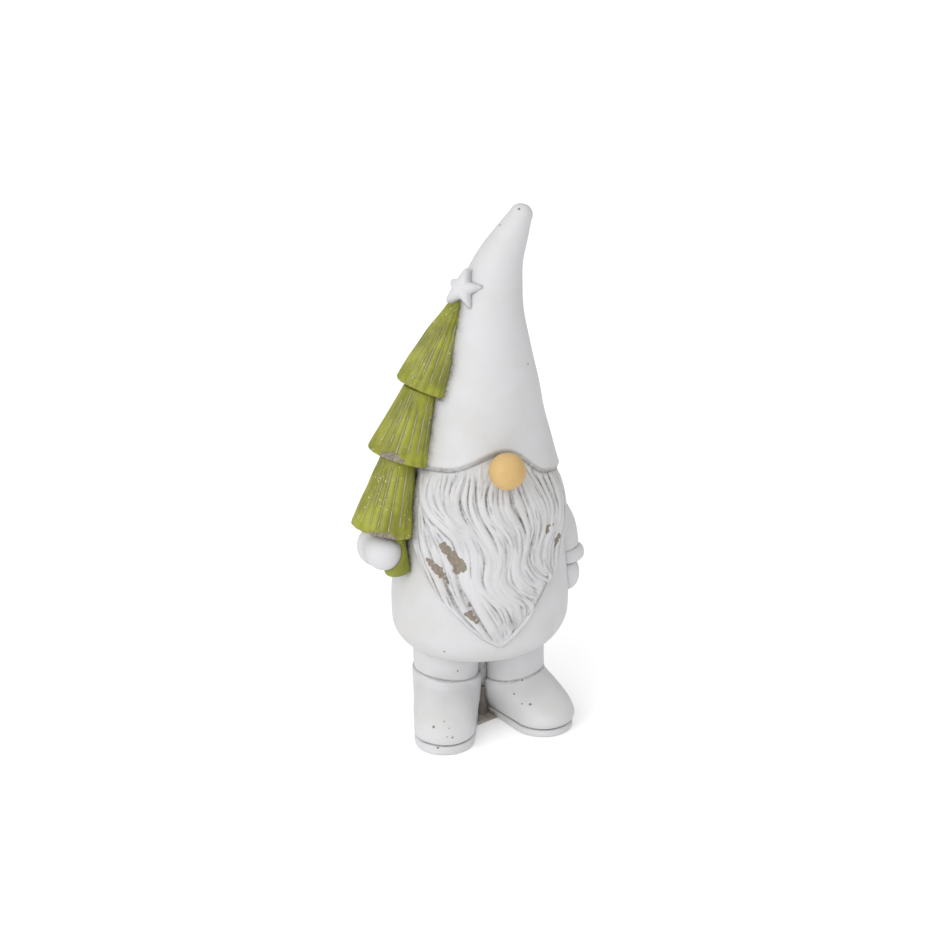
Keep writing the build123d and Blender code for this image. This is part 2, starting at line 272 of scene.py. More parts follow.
hatShape = {
    # height, sideways offset, half width, half depth, sideways tilt of each level
    "levels": ((238, 0.3, 78, 68, 0), (258, 0.4, 72.3, 63.5, 1), (276, 1, 66.5, 58.5, 2),
               (300, 1.8, 59, 52.5, 2), (334, 4.2, 50, 45.5, 3), (372, 6.7, 39.2, 36.5, 4),
               (409, 10, 29.6, 28.6, 7),
               (430, 14, 25.2, 24.6, 12.5), (450, 21, 19.8, 19.8, 21), (468, 30.6, 14.8, 14.8, 27.5),
               (482.8, 38.3, 10.2, 10.2, 27.5)),
    "tipRadius": 10.2,
    "brimHeight": 257.3, "brimRoll": 6.5, "brimPitch": 9,
    "archSides": (56, 45), "archCentre": 4, "archRise": 18.6,
    "edgeRadius": 2.6, "lipDrop": 3.3, "lipInset": 1.9,      # the slanted underside of the brim
    "innerTop": 400,
    "columns": 300, "rows": 215, "tipRows": 14, "edgeRows": 9, "lipRows": 8, "insideRows": 24,
    "unevenness": 0.3,
}


def hatPoint(angle, z, grow=0.0):
    levels = np.asarray(hatShape["levels"], float)
    x, width, depth, tilt = (smoothThrough(levels[:, 0], levels[:, k], z) for k in range(1, 5))
    tilt = np.radians(tilt)
    across = (width + grow) * np.sin(angle)
    return np.stack([x + across * np.cos(tilt), -(depth + grow) * np.cos(angle),
                     z - across * np.sin(tilt)], -1)


def brimLocal(points):
    # the brim's own frame: rolled to the left hand and lifted at the front
    roll, pitch = math.radians(hatShape["brimRoll"]), math.radians(-hatShape["brimPitch"])
    aboutY = [[math.cos(roll), 0, math.sin(roll)], [0, 1, 0], [-math.sin(roll), 0, math.cos(roll)]]
    aboutX = [[1, 0, 0], [0, math.cos(pitch), -math.sin(pitch)], [0, math.sin(pitch), math.cos(pitch)]]
    return (points - (0, 0, hatShape["brimHeight"])) @ (np.array(aboutX) @ np.array(aboutY))


def brimHeight(angle):
    # height of the hat's lower edge at each angle round it
    s = hatShape
    z = np.full_like(angle, s["brimHeight"], dtype=float)
    for _ in range(12):
        local = brimLocal(hatPoint(angle, z))
        across = local[..., 0] - s["archCentre"]
        across = np.clip(across / np.where(across < 0, *s["archSides"]), -1, 1)
        arch = s["archRise"] * (np.cos(math.pi * across) + 1) / 2
        z = z - (local[..., 2] - np.where(local[..., 1] < 0, arch, 0))
    return z


def makeHat():
    s = hatShape
    angle = anglesRound(s["columns"])
    edge = brimHeight(angle)
    r = s["edgeRadius"]
    rise = np.linspace(0, 1, s["rows"])[:, None]
    top = s["levels"][-1][0]
    low = edge + r
    z = low + (top - low) * rise
    outer = hatPoint(angle[None] + 0 * z, z)
    # rounded tip
    tilt = math.radians(s["levels"][-1][4])
    axis = np.array([math.sin(tilt), 0, math.cos(tilt)])
    tipCentre = np.array([s["levels"][-1][1], 0, top])
    turn = np.radians(np.linspace(6, 88, s["tipRows"]))[:, None, None]
    ring = outer[-1] - tipCentre
    tip = tipCentre + ring * np.cos(turn) + axis * s["tipRadius"] * np.sin(turn)
    # rolled edge, then the hidden inside
    up = outer[1] - outer[0]
    up /= np.linalg.norm(up, axis=-1, keepdims=True)
    across = np.roll(outer[0], -1, 0) - np.roll(outer[0], 1, 0)
    out = np.cross(across, up)
    out /= np.linalg.norm(out, axis=-1, keepdims=True)
    roll = np.radians(np.linspace(64, 6, s["edgeRows"]))[:, None, None]
    edgeRows = outer[0] - out * r + r * (np.cos(roll) * out - np.sin(roll) * up)
    slant = np.linspace(1, 0.12, s["lipRows"])[:, None, None]
    lipRows = edgeRows[0] - (out * s["lipInset"] + up * s["lipDrop"]) * slant
    # the part under the turn of the edge gets painted shade in the wash colour, darkest furthest under
    under = np.concatenate([np.zeros(s["insideRows"] - 1), np.linspace(1, 0.62, s["lipRows"]),
                            np.linspace(0.6, 0, s["edgeRows"]) ** 1.3])
    insideRise = np.linspace(1, 0, s["insideRows"])[:, None]
    insideZ = low + (s["innerTop"] - low) * insideRise
    inside = hatPoint(angle[None] + 0 * insideZ, insideZ, -2 * r)
    body = np.concatenate([outer, tip])
    body = body + lumpsAlong(body, 60, 5, s["unevenness"])
    grid = np.concatenate([inside[:-1], lipRows, edgeRows, body])
    points, faces = closedTube(grid)
    underBrimShade = np.zeros(len(points))
    underBrimShade[:len(under) * s["columns"]] = np.repeat(under, s["columns"])
    return makePiece("hat_cone", points, faces, ["hat"], "white_paint", {"shade": underBrimShade})


def lumpsAlong(grid, size, seed, height):
    flat = grid * (1, 1, 0)
    flat = flat - flat.mean(axis=1, keepdims=True)
    length = np.linalg.norm(flat, axis=-1, keepdims=True)
    return flat / np.maximum(length, 1) * (lumps(grid, size, seed) * height)[..., None]


beardShape = {
    # height, half width, half depth of each level of its outer face
    "levels": ((86, 86.3, 74.8), (130, 88.5, 76.5), (160, 87.5, 75.5), (190, 84.5, 73.5), (217, 80.5, 70),
               (240, 75.5, 65.5), (262, 68, 58.5), (290, 57, 49)),
    "top": 286, "tip": 102,
    # height, left edge, right edge, as distances across the front
    "edges": ((102, -9, -3.5), (106, -15, 2), (112, -24, 9), (120, -33, 17), (131, -43.5, 26),
              (144, -54.5, 35.5), (160, -65.5, 48), (176, -73, 60), (192, -76.5, 69), (217, -76.5, 74),
              (240, -73, 71), (262, -66, 62), (286, -53, 52)),
    "girth": 80.0,             # radius that the relief is unrolled on
    "rows": 300, "columns": 290,
    "depth": 5.2, "edgeRound": 5.5, "hidden": 3.0, "underLip": 3.4,
    "reliefStep": 0.5, "reliefCorner": (-112, 92), "reliefSize": (224, 205), "floor": 0.9,
    "hairFrom": (-95, 104), "hairTo": (95, 272),      # where short locks and engraved lines may start
    "mainWidth": (3.3, 4.9), "mainRise": 0.74,
    "fillWidth": (1.5, 3.1), "fillCount": 120, "fillLength": (18, 62),
    "scratchCount": 620, "scratchLength": (8, 34), "scratchDepth": 0.7,
    "chipDepth": 0.9,
    "seed": 11,
}
# the run of the main locks from the brim down, as places across the front and heights
lockLines = (
    ((-60, 262), (-68, 238), (-70, 221), (-70, 199), (-67, 187), (-60, 172), (-47, 139),
     (-35, 125), (-14, 105)),
    ((-64, 262), (-66, 239), (-63, 230), (-52, 218), (-44, 209), (-40, 191), (-38, 166),
     (-31, 148), (-11, 107)),
    ((-57, 262), (-61, 245), (-58, 232), (-48, 222), (-38, 214), (-32, 200), (-32, 178),
     (-29, 156), (-6, 111)),
    ((-43, 266), (-49, 247), (-45, 229), (-36, 217), (-29, 197), (-28, 169), (-21, 158),
     (-9, 145), (1, 118)),
    ((-33, 267), (-43, 241), (-41, 227), (-32, 215), (-19, 190), (-20, 167), (-13, 155),
     (-2, 144), (7, 124)),
    ((-25, 266), (-28, 237), (-25, 227), (-12, 199), (-7, 187), (-11, 168), (-5, 154), (6, 146), (13, 128)),
    ((-12, 262), (-19, 247), (-19, 235), (-5, 211), (0, 195), (-4, 183), (-5, 166), (2, 157),
     (15, 147), (24, 137)),
    ((-5, 260), (-9, 241), (-7, 229), (8, 206), (8, 192), (5, 178), (7, 168), (15, 157), (31, 145)),
    ((4, 256), (3, 238), (14, 211), (16, 197), (12, 180), (19, 166), (36, 153)),
    ((14, 260), (25, 225), (26, 214), (20, 189), (23, 178), (30, 169), (45, 158)),
    ((18, 266), (27, 246), (36, 219), (36, 208), (27, 187), (30, 177), (43, 166)),
    ((27, 266), (38, 245), (46, 222), (44, 212), (34, 189), (36, 176), (47, 164)),
    ((42, 266), (50, 239), (54, 226), (53, 212), (42, 193), (40, 181), (46, 166)),
    ((54, 262), (65, 236), (66, 222), (60, 205), (49, 190), (46, 175), (43, 152), (18, 125), (-8, 104)),
    ((59, 262), (70, 238), (72, 222), (67, 204), (59, 187), (56, 172), (46, 153), (24, 127), (-2, 104)),
)
# spots where the paint has come off: place across, height, radius
beardChips = (
    (-55, 202, 3.0), (-52, 198, 4.3), (-48, 193, 5.0), (-44, 187, 6.0), (-41, 184, 5.2), (-45, 180, 3.8),
    (-66, 187, 2.2), (-64.5, 184, 3.0), (-61.5, 181, 3.7), (-59, 178, 3.9), (-57, 175, 3.2),
    (-54.5, 171.5, 2.3), (-53, 168, 1.6),
    (-38, 139, 2.2), (-35, 139, 3.2), (-32, 135, 3.0), (-29, 131, 2.0), (-35, 147, 1.6), (-35, 149.5, 0.9),
    (41, 206, 2.3), (41.5, 209, 2.2), (44, 210.5, 1.5), (48, 210, 1.2), (55, 196.5, 3.2), (52, 193.5, 3.3),
    (50, 190, 2.2),
)


def beardWidth(z):
    levels = np.asarray(beardShape["levels"], float)
    return smoothThrough(levels[:, 0], levels[:, 1], z)


def beardPoint(angle, z, grow):
    levels = np.asarray(beardShape["levels"], float)
    depth = smoothThrough(levels[:, 0], levels[:, 2], z) + grow
    return np.stack([(beardWidth(z) + grow) * np.sin(angle), -depth * np.cos(angle), z], -1)


def unrolled(across, z):
    # place on the beard's face, unrolled flat: distance round the face, height
    z = np.asarray(z, float)
    share = np.clip(np.asarray(across, float) / beardWidth(z), -0.97, 0.97)
    return np.stack([np.arcsin(share) * beardShape["girth"], z], -1)


def flowField(lines):
    # the way that the hair runs at any place: the main locks' direction, nearest first
    places, ways = [], []
    for line in lines:
        places.append((line[1:] + line[:-1]) / 2)
        step = line[1:] - line[:-1]
        ways.append(step / np.linalg.norm(step, axis=1, keepdims=True))
    places, ways = np.concatenate(places), np.concatenate(ways)

    def at(place):
        gap = ((places - place) ** 2).sum(1) + 5.0
        way = (ways / gap[:, None] ** 1.6).sum(0)
        return way / np.linalg.norm(way)
    return at


def followHair(start, length, flow):
    # a line through the start, along the hair both ways
    down, up = [np.array(start)], []
    for way, line in ((1, down), (-1, up)):
        place = np.array(start)
        for _ in range(int(length / 2 / 1.5)):
            place = place + way * 1.5 * flow(place)
            line.append(place)
    return np.array(up[::-1] + down)


def laidBead(relief, origin, step, place, radius, rise, lift):
    # one round bead of a lock, kept where it stands higher than what is there
    reach = int(radius / step) + 1
    c, r = ((place - origin) / step).round().astype(int)
    r0, r1, c0, c1 = max(r - reach, 0), r + reach + 1, max(c - reach, 0), c + reach + 1
    patch = relief[r0:r1, c0:c1]
    if patch.size == 0:
        return
    rows = (np.arange(r0, r0 + patch.shape[0]) * step + origin[1] - place[1])[:, None]
    columns = (np.arange(c0, c0 + patch.shape[1]) * step + origin[0] - place[0])[None]
    inside = 1 - (rows ** 2 + columns ** 2) / radius ** 2
    bead = np.where(inside > 0, lift + rise * radius * np.sqrt(np.clip(inside, 0, 1)), -9)
    np.maximum(patch, bead, out=patch)


def laidLock(relief, origin, line, width, rise, lift, taper=0.45):
    run = np.linspace(0, 1, len(line))
    swell = np.clip(np.minimum(run / taper, (1 - run) / taper), 0, 1)
    for place, t in zip(line, 0.25 + 0.75 * np.sqrt(swell)):
        laidBead(relief, origin, beardShape["reliefStep"], place, width * t, rise, lift * t)


def scratched(marks, origin, line, width, strength):
    # a fine engraved line that fades at both ends
    step = beardShape["reliefStep"]
    run = np.linspace(0, 1, len(line))
    for place, t in zip(line, np.sin(np.pi * run) ** 0.5 * strength):
        c, r = ((place - origin) / step).astype(int)
        r0, c0 = max(r - 3, 0), max(c - 3, 0)
        patch = marks[r0:r + 5, c0:c + 5]
        if patch.size:
            rows = (np.arange(r0, r0 + patch.shape[0]) * step + origin[1] - place[1])[:, None]
            columns = (np.arange(c0, c0 + patch.shape[1]) * step + origin[0] - place[0])[None]
            np.maximum(patch, t * np.exp(-(rows ** 2 + columns ** 2) / width ** 2), out=patch)


def blurred(field, radius):
    # soft average over about the given number of cells
    for axis in (0, 1):
        total = field.copy()
        weight = 1.0
        for shift in range(1, 2 * radius + 1):
            share = math.exp(-(shift / radius) ** 2)
            total += share * (np.roll(field, shift, axis) + np.roll(field, -shift, axis))
            weight += 2 * share
        field = total / weight
    return field


def beardRelief(lines):
    # height of the locks over the beard's face and depth of the engraved lines, on an unrolled grid
    s = beardShape
    rng = np.random.default_rng(s["seed"])
    step = s["reliefStep"]
    origin = np.array(s["reliefCorner"], float)
    width, height = (int(length / step) for length in s["reliefSize"])
    relief, marks = np.zeros((height, width)), np.zeros((height, width))
    flow = flowField(lines)
    between = []
    for first, second in zip(lines, lines[1:]):
        rows = min(len(first), len(second))
        between.append((first[:rows] + second[:rows]) / 2)
    for _ in range(s["fillCount"]):
        start = rng.uniform(s["hairFrom"], s["hairTo"])
        line = followHair(start, rng.uniform(*s["fillLength"]), flow)
        laidLock(relief, origin, line, rng.uniform(*s["fillWidth"]), 0.75, rng.uniform(-0.3, 0.9))
    for line in between + list(lines):
        for cutLow, cutHigh in ((0.0, 0.62), (0.38, 1.0)):
            low, high = int(len(line) * cutLow), int(len(line) * cutHigh)
            sway = rng.uniform(-1.6, 1.6)
            moved = line[low:high] + (sway, 0)
            if len(moved) > 8:
                laidLock(relief, origin, moved, rng.uniform(*s["mainWidth"]), s["mainRise"],
                         rng.uniform(0.2, 1.2), 0.3)
    relief = blurred(np.maximum(relief, s["floor"]), 1)
    hollow = np.clip(blurred(relief, 5) - relief, 0, 2)
    for _ in range(s["scratchCount"]):
        start = rng.uniform(s["hairFrom"], s["hairTo"])
        r, c = int((start[1] - origin[1]) / step), int((start[0] - origin[0]) / step)
        crowded = 0.25 + 2.2 * hollow[r, c]
        if rng.uniform() < crowded:
            line = followHair(start, rng.uniform(*s["scratchLength"]), flow)
            line = curveThrough(np.column_stack([line, 0 * line[:, 0]]), max(4, len(line) * 4))[:, :2]
            scratched(marks, origin, line, 0.6, rng.uniform(0.35, 1.0))
    return relief, marks, hollow, origin


def sampled(field, origin, places):
    # value of an unrolled grid at any places
    step = beardShape["reliefStep"]
    spot = (places - origin) / step
    c = np.clip(spot[..., 0], 0, field.shape[1] - 2)
    r = np.clip(spot[..., 1], 0, field.shape[0] - 2)
    c0, r0 = c.astype(int), r.astype(int)
    fc, fr = c - c0, r - r0
    low = field[r0, c0] * (1 - fc) + field[r0, c0 + 1] * fc
    return low * (1 - fr) + (field[r0 + 1, c0] * (1 - fc) + field[r0 + 1, c0 + 1] * fc) * fr


def makeBeard():
    s = beardShape
    edges = np.asarray(s["edges"], float)
    z = np.linspace(s["tip"], s["top"], s["rows"])
    low, high = (unrolled(smoothThrough(edges[:, 0], edges[:, k], z), z)[:, 0] for k in (1, 2))
    share = np.linspace(0, 1, s["columns"])
    around = low[:, None] + (high - low)[:, None] * share[None]
    height = z[:, None] + 0 * around
    places = np.stack([around, height], -1)
    lines = []
    for line in lockLines:
        across, up = np.array(line, float).T
        flat = unrolled(across, up)
        lines.append(curveThrough(np.column_stack([flat, 0 * up]), int(abs(up[0] - up[-1]) * 0.9))[:, :2])
    relief, marks, hollow, origin = beardRelief(lines)
    # rounded down to the coat along the sides
    outline = np.concatenate([np.column_stack([low, z]), np.column_stack([high, z]),
                              np.column_stack([np.linspace(low[0], high[0], 9), np.full(9, z[0])])])
    toEdge = np.full(around.shape, 99.0)
    for place in outline[::2]:
        toEdge = np.minimum(toEdge, np.hypot(around - place[0], height - place[1]))
    near = np.clip(toEdge / s["edgeRound"], 0, 1)
    rounded = np.sqrt(1 - (1 - near) ** 2)
    locks = sampled(relief, origin, places)
    scratch = sampled(marks, origin, places)
    crease = sampled(hollow, origin, places)
    # chips with ragged edges
    chip = np.full(around.shape, -9.0)
    for across, up, radius in beardChips:
        spot = unrolled(across, up)
        chip = np.maximum(chip, radius - np.hypot(around - spot[0], height - spot[1]))
    face = beardPoint(around / s["girth"], height, 0.0)
    chip = softStep(-0.25, 0.35, chip + 0.45 * lumps(face, 5.5, 31) + 0.22 * lumps(face, 2.2, 32))
    raised = -s["depth"] * (1 - rounded) + (locks - 2.1) * np.clip(near * 2.2, 0, 1)
    raised -= s["scratchDepth"] * scratch
    raised -= s["chipDepth"] * chip * np.clip(near * 2, 0, 1)
    raised += 0.12 * chip * lumps(face, 1.8, 33)
    # runs in under the brim's lip
    angle = around / s["girth"]
    edge = brimHeight(angle)
    hatFace, ownFace = hatPoint(angle, edge, -s["underLip"]), beardPoint(angle, edge, 0.0)
    gap = np.hypot(hatFace[..., 0], hatFace[..., 1]) - np.hypot(ownFace[..., 0], ownFace[..., 1])
    under = softStep(edge - 11, edge - 2, height)
    raised = raised * (1 - under) + gap * under
    front = face + raised[..., None] * outwards(face)
    back = beardPoint(around / s["girth"], height, -s["depth"] - s["hidden"])
    rows, columns = around.shape
    count = rows * columns
    points = np.concatenate([front.reshape(-1, 3), back.reshape(-1, 3)])
    faces = gridFaces(rows, columns, False)
    faces += [[count + i for i in reversed(face)] for face in faces]
    rim = ([(0, c) for c in range(columns)] + [(r, columns - 1) for r in range(1, rows)]
           + [(rows - 1, c) for c in range(columns - 2, -1, -1)] + [(r, 0) for r in range(rows - 2, 0, -1)])
    ids = [r * columns + c for r, c in rim]
    for here, there in zip(ids, ids[1:] + ids[:1]):
        faces.append([there, here, count + here, count + there])
    none = np.zeros(count)
    fields = {
        "chip": np.concatenate([chip.ravel(), none]),
        "scratch": np.concatenate([scratch.ravel(), none]),
        "crease": np.concatenate([crease.ravel(), none]),
    }
    return makePiece("beard_locks", points, faces, ["beard"], "washed_white", fields)


noseShape = {"columns": 96, "rows": 60}


def makeNose():
    low, high = (np.array(corner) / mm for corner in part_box("nose"))
    centre, radius = (low + high) / 2, (high - low).max() / 2
    turn = np.linspace(0.02, math.pi - 0.02, noseShape["rows"])
    profile = np.stack([radius * np.sin(turn), -radius * np.cos(turn)], -1)
    grid = turned(centre, (0, -1, 0.1), profile, noseShape["columns"])
    points, faces = closedTube(grid)
    return makePiece("nose_ball", points, faces, ["nose"], "nose_ball")


footShape = {
    "legTop": {"right": (-32.2, 0.6), "left": (31.3, 0.6)},
    "legFoot": {"right": (-33.8, 0.6), "left": (34, 0.6)},
    "legRadii": {"right": (30.2, 32), "left": (29.2, 31.4)},     # at the foot and at the hem
    "heel": {"right": (-32.9, 0.6), "left": (31.8, 2.6)},
    "toe": {"right": (-51.2, -45.6), "left": (48.3, -44.2)},
    "bootTop": {"right": 53.0, "left": 44.0},
    "mouthTilt": {"right": -0.14, "left": 0.17},     # the mouths drop towards each other
    "mouthRound": 1.5, "bootRows": 64, "legRows": 50, "legHem": 88,
    "sole": {"right": 9.2, "left": 7.2}, "soleLip": 1.2, "soleToe": (27, 2.5),
    # boot from the sole up: height, radius of the heel, radius and setback of the toe
    "levels": {
        "right": ((9.4, 28.3, 27, 2.5), (18, 30.4, 28.3, 0), (28, 31.5, 27.2, 4), (35, 32, 26, 11.5),
                  (41, 32.3, 25.2, 22), (46.5, 32.4, 24.5, 33), (51.4, 32.4, 24, 38)),
        "left": ((7.4, 24.5, 27, 2.5), (15, 27.3, 28.3, 0), (22, 29, 27.7, 3), (28, 30.3, 26.5, 10.5),
                 (33, 31, 25.4, 21), (38, 31.4, 24.5, 33.5), (42.5, 31.5, 24, 40.5)),
    },
    "columns": 240,
    # the cast wall between the two feet: height, sideways centre, half width, half depth
    "wall": ((0.4, -0.9, 8.5, 8), (12, -0.9, 6.5, 8), (30, -0.9, 5, 8), (44, -1.2, 6.5, 9),
             (60, -1.4, 6, 9), (80, -1.5, 4.5, 9)),
    "wallDepth": -1.5,
    "webCorners": ((-21.7, -28.5), (24.4, -10.9), (14, 16), (-14, 16)), "webTop": 2.6,
}


def footRing(heel, toe, heelRadius, toeRadius, setback, count):
    # outline round a heel circle and a toe circle, evenly divided from the back of the heel
    heel, toe = np.array(heel, float), np.array(toe, float)
    span = np.linalg.norm(toe - heel) - setback
    way = unit(toe - heel)
    other = np.array([-way[1], way[0]])
    lean = math.acos((heelRadius - toeRadius) / span)
    toeTurn = np.linspace(lean, -lean, 60)
    heelTurn = np.linspace(-lean, lean - tau, 60)
    line = [(span + toeRadius * math.cos(t), toeRadius * math.sin(t)) for t in toeTurn]
    line += [(heelRadius * math.cos(t), heelRadius * math.sin(t)) for t in heelTurn]
    line = np.array(line + line[:1])
    start = np.argmin(line[:-1, 0])
    line = np.roll(line[:-1], -start, axis=0)
    line = np.vstack([line, line[:1]])
    run = runAlong(np.linalg.norm(np.diff(line, axis=0), axis=1))
    at = np.arange(count) * run[-1] / count
    along, across = np.interp(at, run, line[:, 0]), np.interp(at, run, line[:, 1])
    return (heel + along[:, None] * way + across[:, None] * other)[::-1]


def makeSole(side):
    s = footShape
    toeRadius, setback = s["soleToe"]
    top = s["sole"][side]
    rows = []
    for height, inset in ((0, 2.4), (0.4, 1.1), (1.4, 0.3), (3, 0), (top - 2.6, 0), (top - 1.2, 0.3),
                          (top - 0.4, 1.0), (top, 2.2)):
        ring = footRing(s["heel"][side], s["toe"][side], s["levels"][side][0][1] + s["soleLip"] - inset,
                        toeRadius + s["soleLip"] - inset, setback, s["columns"])
        rows.append(np.column_stack([ring, np.full(len(ring), height)]))
    grid = roughened(densifiedRows(np.array(rows), 1.0), (0, 1), 0.3, 30, 41)
    points, faces = closedTube(grid)
    return makePiece(side + "_boot_sole", points, faces, [side + "_sole"], "white_paint")


def densifiedRows(rows, spacing):
    # more rings between the given ones
    run = runAlong(np.linalg.norm(np.diff(rows, axis=0), axis=2).mean(1))
    at = np.linspace(0, run[-1], max(3, int(run[-1] / spacing)))
    flat = rows.reshape(len(rows), -1)
    columns = [np.interp(at, run, flat[:, k]) for k in range(flat.shape[1])]
    return np.stack(columns, 1).reshape(len(at), -1, 3)


def unitRows(vectors):
    return vectors / np.maximum(np.linalg.norm(vectors, axis=-1, keepdims=True), 1e-6)


def roughened(grid, over, height, size, seed):
    # slow unevenness, level and away from the middle of the given axes
    away = (grid - grid.mean(axis=over, keepdims=True)) * (1, 1, 0)
    return grid + unitRows(away) * (height * lumps(grid, size, seed))[..., None]


def makeBoot(side):
    s = footShape
    levels = np.array(s["levels"][side], float)
    mouth = s["bootTop"][side]
    heights = np.linspace(levels[0, 0], levels[-1, 0], s["bootRows"])
    heelR, toeR, back = (smoothThrough(levels[:, 0], levels[:, k], heights) for k in (1, 2, 3))
    rows = []
    for z, a, b, c in zip(heights, heelR, toeR, back):
        tuck = 1.5 * math.exp(-((z - levels[0, 0]) / 1.1) ** 2)
        ring = footRing(s["heel"][side], s["toe"][side], a - tuck, b - tuck, c, s["columns"])
        rows.append(np.column_stack([ring, np.full(len(ring), z)]))
    corner = s["mouthRound"]
    for turn in np.radians((25, 50, 75, 90)):
        inset = corner * (1 - math.cos(turn))
        ring = footRing(s["heel"][side], s["toe"][side], heelR[-1] - inset, toeR[-1] - inset, back[-1],
                        s["columns"])
        rows.append(np.column_stack([ring, np.full(len(ring), levels[-1, 0] + corner * math.sin(turn))]))
    grid = np.array(rows)
    # the mouth leans, more so towards the top
    lean = softStep(levels[0, 0] + 8, mouth, grid[..., 2])
    grid[..., 2] += lean * s["mouthTilt"][side] * (grid[..., 0] - s["heel"][side][0])
    points, faces = closedTube(roughened(grid, (0, 1), 0.45, 34, 43))
    return makePiece(side + "_boot_upper", points, faces, [side + "_boot"], "white_paint")


def castWall(low, high):
    # part of the wall between the feet, as a closed oval bar
    s = footShape
    levels = np.array(s["wall"], float)
    heights = np.linspace(low, high, max(4, int((high - low) / 1.2)))
    x, width, depth = (smoothThrough(levels[:, 0], levels[:, k], heights)[:, None] for k in (1, 2, 3))
    angle = anglesRound(60)
    level = heights[:, None] + 0 * angle
    rough = 0.35 * lumps(np.stack([0 * level, angle * 9 + 0 * x, level], -1), 7, 45)
    return closedTube(np.stack([x + (width + rough) * np.sin(angle),
                                s["wallDepth"] - (depth + rough) * np.cos(angle), level], -1))


def makeLeg(side):
    s = footShape
    heights = np.linspace(s["bootTop"][side] - 2.5, s["legHem"], s["legRows"])
    angle = anglesRound(s["columns"])
    foot, top = np.array(s["legFoot"][side]), np.array(s["legTop"][side])
    footRadius, topRadius = s["legRadii"][side]
    rows = []
    for z, t in zip(heights, np.linspace(0, 1, len(heights))):
        radius = footRadius + (topRadius - footRadius) * t
        centre = foot + (top - foot) * t
        x = centre[0] + radius * np.sin(angle)
        leaned = z + (1 - t) * s["mouthTilt"][side] * (x - s["heel"][side][0])
        rows.append(np.column_stack([x, centre[1] - radius * np.cos(angle), leaned]))
    form = closedTube(roughened(np.array(rows), 1, 0.3, 32, 47))
    shade = np.zeros(len(form[0]))
    if side == "right":
        # this leg's casting carries the wall behind the gap, with painted shade darkest at its foot
        wall = castWall(34, 82)
        form = joined(form, wall)
        shade = np.concatenate([shade, 1.15 - 0.75 * softStep(42, 78, wall[0][:, 2])])
    return makePiece(side + "_trouser_leg", *form, [side + "_leg"], "white_paint", {"shade": shade})


def makeWeb():
    s = footShape
    corners = np.array(s["webCorners"], float)
    ring = []
    for here, there in zip(corners, np.roll(corners, -1, 0)):
        ring += [here + (there - here) * t for t in np.linspace(0, 1, 30, endpoint=False)]
    ring = np.array(ring)
    middle = ring.mean(0)
    rows = []
    for height, inset in ((0, 0.04), (0.5, 0.01), (1.2, 0), (s["webTop"] - 0.6, 0.01), (s["webTop"], 0.05),
                          (s["webTop"], 0.2), (s["webTop"], 0.4), (s["webTop"], 0.6), (s["webTop"], 0.8)):
        flat = ring + (middle - ring) * inset
        rows.append(np.column_stack([flat, np.full(len(flat), height)]))
    grid = np.array(rows)
    grid[3:, :, 2] += 0.25 * lumps(grid[3:], 8, 49)
    form, wall = closedTube(grid), castWall(0.6, 32)
    # the wall's full value is painted shade in the gap between the feet
    shade = np.concatenate([np.full(len(form[0]), 0.55), np.full(len(wall[0]), 1.0)])
    return makePiece("foot_web_casting", *joined(form, wall), ["foot_web"], "stained_casting",
                     {"shade": shade})


armShape = {
    "right": {"sleeve": ((-60, 14, 216, 19), (-80, 28, 190, 18), (-93, 11, 184, 16.5)),
              "cuffCentre": (-95.5, 7.1, 184), "cuffAxis": (-0.34, -0.94, 0), "cuffRadius": 20,
              "mitten": (-98.0, -17.0, 189.3), "mittenRadii": (16.3, 19.5, 17.3), "mittenTurn": -20},
    "left": {"sleeve": ((58, 0.6, 208, 21), (72, -5.4, 188, 19), (79.5, -9.4, 160, 15.5)),
             "cuffCentre": (81.5, -9.9, 158.5), "cuffAxis": (0.12, -0.1, -1), "cuffRadius": 17.5,
             "mitten": (80.3, -11.4, 140.0), "mittenRadii": (13.5, 15, 17.5), "mittenTurn": 0},
    "cuffLength": 15, "cuffRound": 6,
}


def makeSleeve(side):
    path = curveThrough(armShape[side]["sleeve"], 80)
    rings = []
    for index, (*place, radius) in enumerate(path):
        ahead = path[min(index + 1, len(path) - 1), :3] - path[max(index - 1, 0), :3]
        rings.append(turned(place, ahead, [(radius, 0)], 160)[0])
    points, faces = closedTube(np.array(rings))
    return makePiece(side + "_arm_sleeve", points, faces, [side + "_sleeve"], "white_paint")


def makeCuff(side):
    arm = armShape[side]
    profile = roundedBar(arm["cuffRadius"], armShape["cuffLength"] / 2, armShape["cuffRound"])
    points, faces = closedTube(turned(arm["cuffCentre"], arm["cuffAxis"], densified(profile, 0.6), 200))
    return makePiece(side + "_rolled_cuff", points, faces, [side + "_cuff"], "white_paint")


def makeMitten(side):
    arm = armShape[side]
    turn = np.linspace(0.03, math.pi - 0.03, 100)
    ball = turned((0, 0, 0), (0, 0, 1), np.stack([np.sin(turn), -np.cos(turn)], -1), 170)
    ball = np.sign(ball) * np.abs(ball) ** 0.86
    ball = ball / np.linalg.norm(ball, axis=-1, keepdims=True) ** 0.55 * np.array(arm["mittenRadii"])
    swing = math.radians(arm["mittenTurn"])
    rotate = [[math.cos(swing), -math.sin(swing), 0], [math.sin(swing), math.cos(swing), 0], [0, 0, 1]]
    points, faces = closedTube(ball @ np.array(rotate).T + np.array(arm["mitten"]))
    return makePiece(side + "_hand_mitten", points, faces, [side + "_mitten"], "white_paint")


